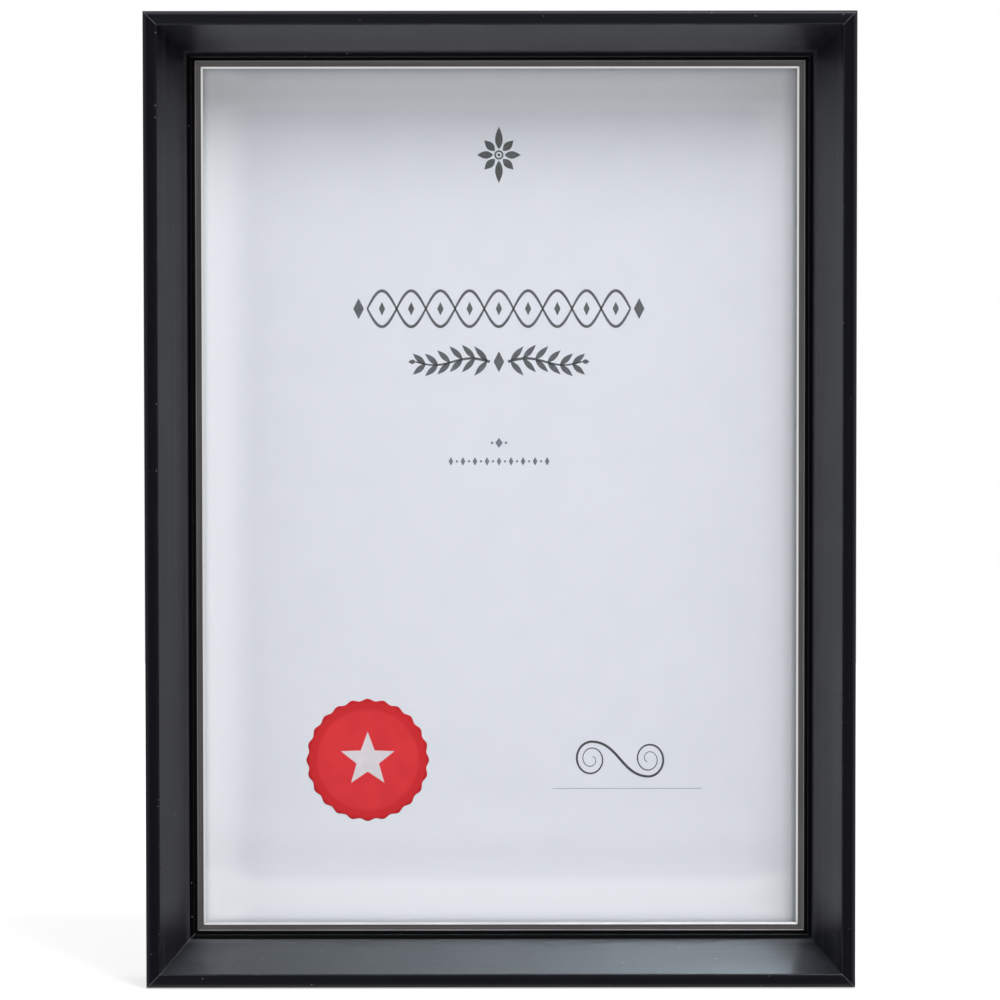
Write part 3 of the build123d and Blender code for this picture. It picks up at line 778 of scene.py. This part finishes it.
def make_emblem(surface):
    """An eight-petal rosette with a small flower in its middle."""
    made = Print()
    x, z = -0.39, 113.13
    petals, petal_start, petal_width = 8, 1.9, 2.5
    lengths = (7.4, 4.9, 5.3, 4.9)  # upright, slanting, level, slanting
    ring_radius, ring_width, ring_steps = 1.25, 0.55, 32
    for number in range(petals):
        angle = math.tau / petals * number + math.pi / 2
        foot = x + math.cos(angle) * petal_start, z + math.sin(angle) * petal_start
        made.lens(*foot, angle, lengths[number % 4], petal_width)
    turns = [number * math.tau / ring_steps for number in range(ring_steps)]
    ring = [(x + ring_radius * math.cos(turn), z + ring_radius * math.sin(turn)) for turn in turns]
    made.stroke(ring, ring_width, closed=True)
    made.dot(x, z, 0.5)
    made.lay("printed_emblem", surface)


def make_title_band(surface):
    """Two waves twisted into a band, with a lozenge in each eye and at each end."""
    left, right = -44.0, 43.1
    middle, height, eyes, steps = 62.32, 5.95, 9, 270
    thin, swell = 0.62, 0.36  # width of the line where the waves cross, and how much wider it gets
    eye_size, end_size, end_gap = (2.0, 4.6), (3.4, 7.0), 2.9
    made = Print()
    for strand in (-1, 1):
        path = []
        widths = []
        for number in range(steps + 1):
            share = number / steps
            angle = math.pi * eyes * share
            path.append((left + (right - left) * share, middle + strand * height * math.sin(angle)))
            widths.append(thin + swell * abs(math.sin(angle)))
        made.stroke(path, widths)
    for eye in range(eyes):
        made.lozenge(left + (right - left) * (eye + 0.5) / eyes, middle, *eye_size)
    for x in (left - end_gap, right + end_gap):
        made.lozenge(x, middle, *end_size)
    made.lay("printed_title_band", surface)


def make_garland(surface):
    """Two leafy sprigs that meet at a lozenge."""
    made = Print()
    middle_x, middle_z = -0.45, 44.75
    gap, reach, sway, steps = 3.0, 27.6, 1.1, 60
    thick, taper = 0.95, 0.45  # width of the stem at its foot, and how much thinner its tip is
    leaves, leaf_length, leaf_width = 6, 6.6, 1.9
    lean = 0.85  # of a leaf from the stem
    shorter, flatter = 1.3, 0.18  # how much shorter a leaf is at the tip, and how much less it leans
    tip_size, middle_size = (2.4, 1.5), (3.4, 7.0)
    for side in (-1, 1):
        stem = []
        for number in range(steps + 1):
            share = number / steps
            x = middle_x + side * (gap + (reach - gap) * share)
            stem.append((x, middle_z + sway * math.sin(share * math.pi * 2.0)))
        made.stroke(stem, [thick - taper * number / steps for number in range(steps + 1)])
        for number in range(leaves):
            share = (number + 0.25) / leaves
            x, z = stem[round(share * steps)]
            for up in (-1, 1):
                turn = up * (lean - flatter * share)
                angle = turn if side > 0 else math.pi - turn
                made.lens(x, z, angle, leaf_length - shorter * share, leaf_width)
        made.lens(*stem[-1], 0.0 if side > 0 else math.pi, *tip_size)
    made.lozenge(middle_x, middle_z, *middle_size)
    made.lay("printed_garland", surface)


def make_small_marks(surface):
    """Two small rows of dots and lozenges."""
    made = Print()
    middle_x, first_z, second_z = -0.45, 17.86, 11.71
    start_x, length, count = -16.4, 31.9, 17
    large, small, dot_gap = (2.4, 3.4), (1.5, 2.9), 2.3
    made.lozenge(middle_x, first_z, *large)
    for side in (-1, 1):
        made.dot(middle_x + side * dot_gap, first_z, 0.42)
    for number in range(count):
        x = start_x + length * number / (count - 1)
        if number % 2 == 0:
            made.lozenge(x, second_z, *small)
        else:
            made.dot(x, second_z, 0.38)
    made.lay("printed_small_marks", surface)


def make_pen_flourish(surface):
    """A pen-drawn S-scroll with a curl at each end, over the line to sign on."""
    made = Print(layer=1)
    middle_x, middle_z = 39.7, -87.4
    reach, outer, inner, turns = 9.6, 5.2, 0.9, 1.9
    stretch = 1.12  # how much taller than round a curl is
    thin, swell = 0.24, 0.62  # width of the line at its ends, and how much wider it gets
    curl_steps, sweep_steps = 110, 50
    half = []
    for number in range(curl_steps):
        share = number / curl_steps
        angle = math.pi / 2 + math.tau * turns * (1.0 - share)
        radius = inner + (outer - inner) * share ** 0.8
        half.append((-reach + radius * math.cos(angle), radius * math.sin(angle) * stretch))
    sweep = []
    rise = outer * stretch
    for number in range(sweep_steps + 1):
        t = number / sweep_steps
        u = 1.0 - t
        pull = 3.0 * u * u * t, 3.0 * u * t * t
        x = -reach * u ** 3 - 0.5 * pull[0] + 0.5 * pull[1] + reach * t ** 3
        z = rise * (u ** 3 + pull[0] - pull[1] - t ** 3)
        sweep.append((x, z))
    path = half + sweep + [(-x, -z) for x, z in reversed(half)]
    last = len(path) - 1
    widths = [thin + swell * math.sin(math.pi * number / last) ** 3 for number in range(last + 1)]
    made.stroke([(middle_x + x, middle_z + z) for x, z in path], widths)
    made.lay("printed_pen_flourish", surface)


def make_rule(surface):
    """The line to sign on."""
    made = Print()
    z = -97.2
    made.stroke([(17.23, z), (42.0, z), (66.85, z)], 0.30)
    made.lay("printed_rule", surface)


def make_seal(surface):
    """A pressed round paper seal with a scalloped rim and an inner ring."""
    spokes = SEAL_SCALLOPS * SEAL_STEPS
    shares = [number / SEAL_RINGS for number in range(1, SEAL_RINGS)] + [SEAL_EDGE, 1.0]
    points = [(SEAL_X, SEAL_REAR - SEAL_THICKNESS, SEAL_Z)]
    for share in shares:
        for spoke in range(spokes):
            angle = math.tau * spoke / spokes
            wave = 0.5 + 0.5 * math.cos(angle * SEAL_SCALLOPS)
            edge = SEAL_VALLEY + (SEAL_PEAK - SEAL_VALLEY) * wave
            radius = share * edge
            groove = SEAL_GROOVE_DEPTH * math.exp(-(((radius - SEAL_RING) / SEAL_GROOVE_WIDTH) ** 2))
            lip = SEAL_LIP_HEIGHT * math.exp(-(((radius - SEAL_RIM) / SEAL_LIP_WIDTH) ** 2))
            fall = SEAL_FALL * max(0.0, (share - SEAL_EDGE) / (1.0 - SEAL_EDGE))
            lift = SEAL_THICKNESS - groove + lip - fall
            x = SEAL_X + radius * math.cos(angle)
            points.append((x, SEAL_REAR - lift, SEAL_Z + radius * math.sin(angle)))
    outer = 1 + (len(shares) - 1) * spokes
    base = len(points)
    points += [(x, SEAL_REAR, z) for x, _, z in points[outer:base]]
    middle = len(points)
    points.append((SEAL_X, SEAL_REAR, SEAL_Z))
    faces = []
    for spoke in range(spokes):
        after = (spoke + 1) % spokes
        faces.append((0, 1 + spoke, 1 + after))
        faces.append((outer + spoke, base + spoke, base + after, outer + after))
        faces.append((middle, base + after, base + spoke))
        for ring in range(1, outer, spokes):
            faces.append((ring + spoke, ring + spokes + spoke, ring + spokes + after, ring + after))
    mesh = make_sheet_piece("paper_seal", points, faces, surface)
    mesh.polygons.foreach_set("use_smooth", [True] * len(mesh.polygons))


def make_star(surface):
    """A raised five-pointed star, let a little into the seal's face."""
    face = SEAL_REAR - SEAL_THICKNESS
    foot, top, crown = face + 0.01 * MM, face - 0.02 * MM, face - 0.055 * MM
    corners = 10
    points = [(SEAL_X, crown, SEAL_Z)]
    for number in range(corners):
        angle = math.pi / 2 + math.tau * number / corners
        radius = STAR_NOTCH if number % 2 else STAR_TIP
        points.append((SEAL_X + radius * math.cos(angle), top, SEAL_Z + radius * math.sin(angle)))
    points += [(x, foot, z) for x, _, z in points[1:]]
    points.append((SEAL_X, foot, SEAL_Z))
    faces = []
    for number in range(corners):
        a, b = 1 + number, 1 + (number + 1) % corners
        faces.append((0, a, b))
        faces.append((a, a + corners, b + corners, b))
        faces.append((1 + 2 * corners, b + corners, a + corners))
    make_sheet_piece("seal_star", points, faces, surface)


make_camera()
make_light("key_light", KEY_PLACE, KEY_SIZE, KEY_POWER, KEY_COLOUR)
pane_lamp = make_light("pane_lamp", PANE_LAMP_PLACE, PANE_LAMP_SIZE, PANE_LAMP_POWER, PANE_LAMP_COLOUR)
pane_lamp.visible_diffuse = False
pane_lamp.light_linking.receiver_collection = bpy.data.collections.new("pane_lamp_receivers")
pane_lamp.light_linking.receiver_collection.objects.link(nodes["pane"])
make_world()
make_floor()

for rail, lacquer in LACQUERS.items():
    dress(moulding_material(f"black_lacquer_{rail}", *lacquer), f"{rail}_rail")
dress(slip_material(), "top_slip", "bottom_slip", "left_slip", "right_slip")
dress(glass_material(), "pane")
dress(paper_material(), "certificate_sheet")
dress(hardboard_material(), "back_board")
dress(strut_material(), "strut_leg")

# Two tones, roughness, tone and share of tarnish, and how fine the rolling marks are in each direction
BRASSY = (0.55, 0.50, 0.40)
STEELS = {
    "button_zinc": ((0.50, 0.505, 0.515), (0.66, 0.665, 0.675), 0.34, BRASSY, 0.2, (1.0, 1.0, 1.0)),
    "screw_zinc": ((0.46, 0.44, 0.37), (0.64, 0.60, 0.48), 0.3, (0.55, 0.45, 0.24), 0.45, (1.0, 1.0, 1.0)),
    "hanger_steel": ((0.42, 0.425, 0.435), (0.60, 0.605, 0.615), 0.3, BRASSY, 0.2, (90.0, 900.0, 2600.0)),
    "nail_steel": ((0.38, 0.38, 0.385), (0.56, 0.56, 0.57), 0.38, BRASSY, 0.2, (1.0, 1.0, 1.0)),
    "hinge_steel": ((0.40, 0.40, 0.41), (0.58, 0.58, 0.59), 0.32, BRASSY, 0.2, (60.0, 900.0, 2400.0)),
    "rivet_steel": ((0.52, 0.52, 0.53), (0.70, 0.70, 0.71), 0.26, BRASSY, 0.2, (1.0, 1.0, 1.0)),
}
STEEL_PIECES = {
    "button_zinc": [name for name in nodes if name.startswith("turn_button")],
    "screw_zinc": ["button_screws"],
    "hanger_steel": ["portrait_hanger", "landscape_hanger"],
    "nail_steel": ["hanger_nails", "corner_nails"],
    "hinge_steel": ["hinge_fixed_leaf", "hinge_moving_leaf", "hinge_pin"],
    "rivet_steel": ["fixed_leaf_rivets", "moving_leaf_rivets"],
}
for name, look in STEELS.items():
    dress(steel_material(name, *look), *STEEL_PIECES[name])

title_ink = ink_material("title_ink", (0.088, 0.092, 0.100))
make_emblem(ink_material("emblem_ink", (0.058, 0.061, 0.062)))
make_title_band(title_ink)
make_garland(title_ink)
make_small_marks(ink_material("small_ink", (0.15, 0.165, 0.195)))
make_pen_flourish(ink_material("pen_ink", (0.040, 0.041, 0.045)))
make_rule(ink_material("rule_ink", (0.42, 0.44, 0.47)))
make_seal(seal_material())
make_star(ink_material("star_paper", (0.72, 0.66, 0.69)))

bpy.context.scene.view_settings.view_transform = "Standard"
